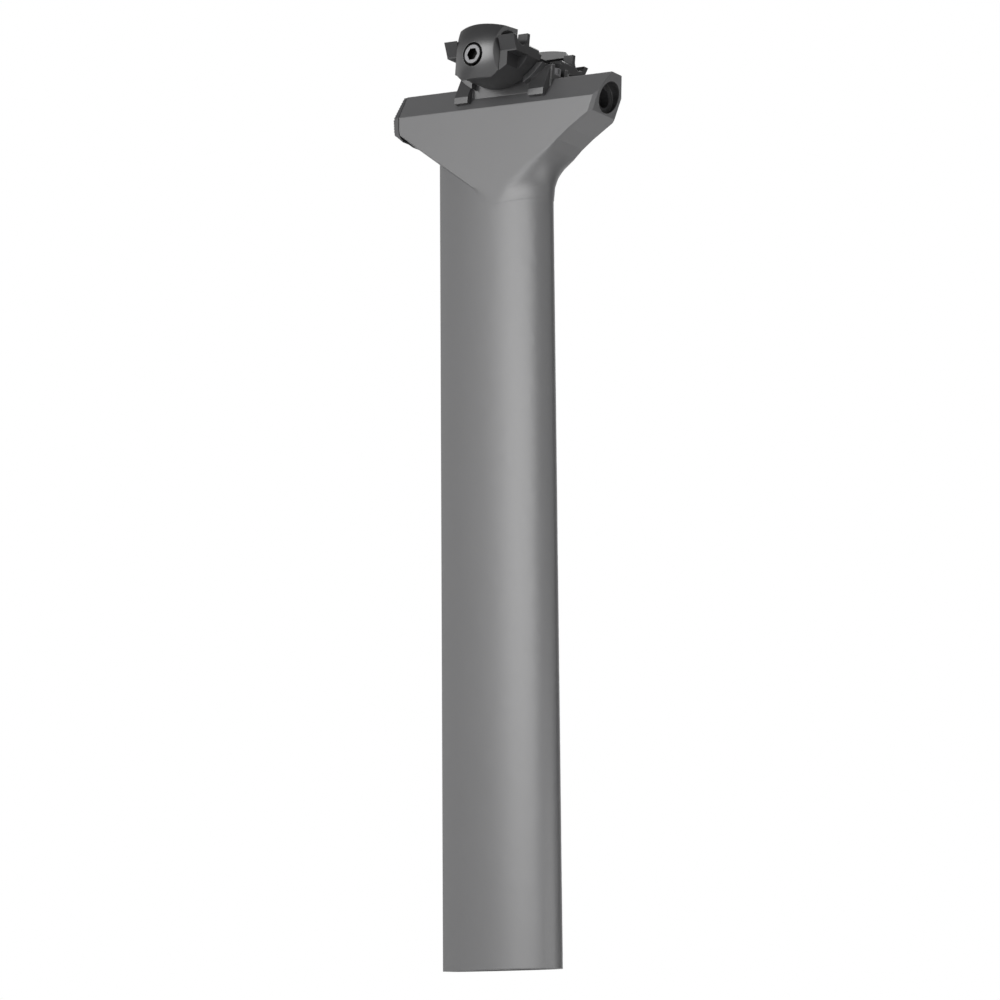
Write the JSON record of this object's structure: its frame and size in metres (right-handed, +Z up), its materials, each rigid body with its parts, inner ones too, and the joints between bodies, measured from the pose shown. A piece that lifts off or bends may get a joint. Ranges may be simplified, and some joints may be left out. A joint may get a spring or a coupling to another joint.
{
  "type": "bicycle seatpost",
  "caption": "Aero-section bicycle seatpost whose long rail-shaped head carries a sliding, tilting clamp for a saddle's two rails.",
  "frame": {"origin": "on the shaft's axis at its lower end, 29 mm behind its nose, 31.5 mm ahead of its tail and midway across it", "axes": "+Z up the shaft, +X to the front of the bicycle, +Y to its left"},
  "size_m": [0.1191, 0.0608, 0.4181],
  "materials": {
    "composite": "satin near-black, as on a painted carbon moulding",
    "track": "dark anodised",
    "moulded_trim": "matt black",
    "fasteners": "black oxide",
    "brass_insert": "plain",
    "bush": "black anodised",
    "clamp_alloy": "bead-blasted, black anodised",
    "bar_steel": "plain"
  },
  "bodies": {
    "post": {"post_body": "composite", "slide_track": "track", "rear_end_cap": "moulded_trim", "rear_cap_screw": "fasteners", "rear_insert": "brass_insert", "front_port_bush": "bush"},
    "carriage": {"carriage": "clamp_alloy", "carriage_screw_front": "fasteners", "carriage_screw_rear": "fasteners", "carriage_washer_front": "fasteners", "carriage_washer_rear": "fasteners", "slide_bar": "bar_steel"},
    "cradle": {"cradle": "clamp_alloy", "clamp_cap_right": "clamp_alloy", "clamp_cap_left": "clamp_alloy", "clamp_bolt": "fasteners", "clamp_washer_right": "fasteners", "clamp_washer_left": "fasteners", "clamp_nut": "fasteners"}
  },
  "joints": [
    {"name": "carriage_slide", "type": "slide", "parent": "post", "child": "carriage", "axis": [0.9936, 0, -0.1132], "range_m": [-0.0248, 0.0172]},
    {"name": "saddle_tilt", "type": "hinge", "parent": "carriage", "child": "cradle", "pos_m": [0.00986, 0, 0.42134], "axis": [0, 1, 0], "range_deg": [-10, 10]}
  ]
}
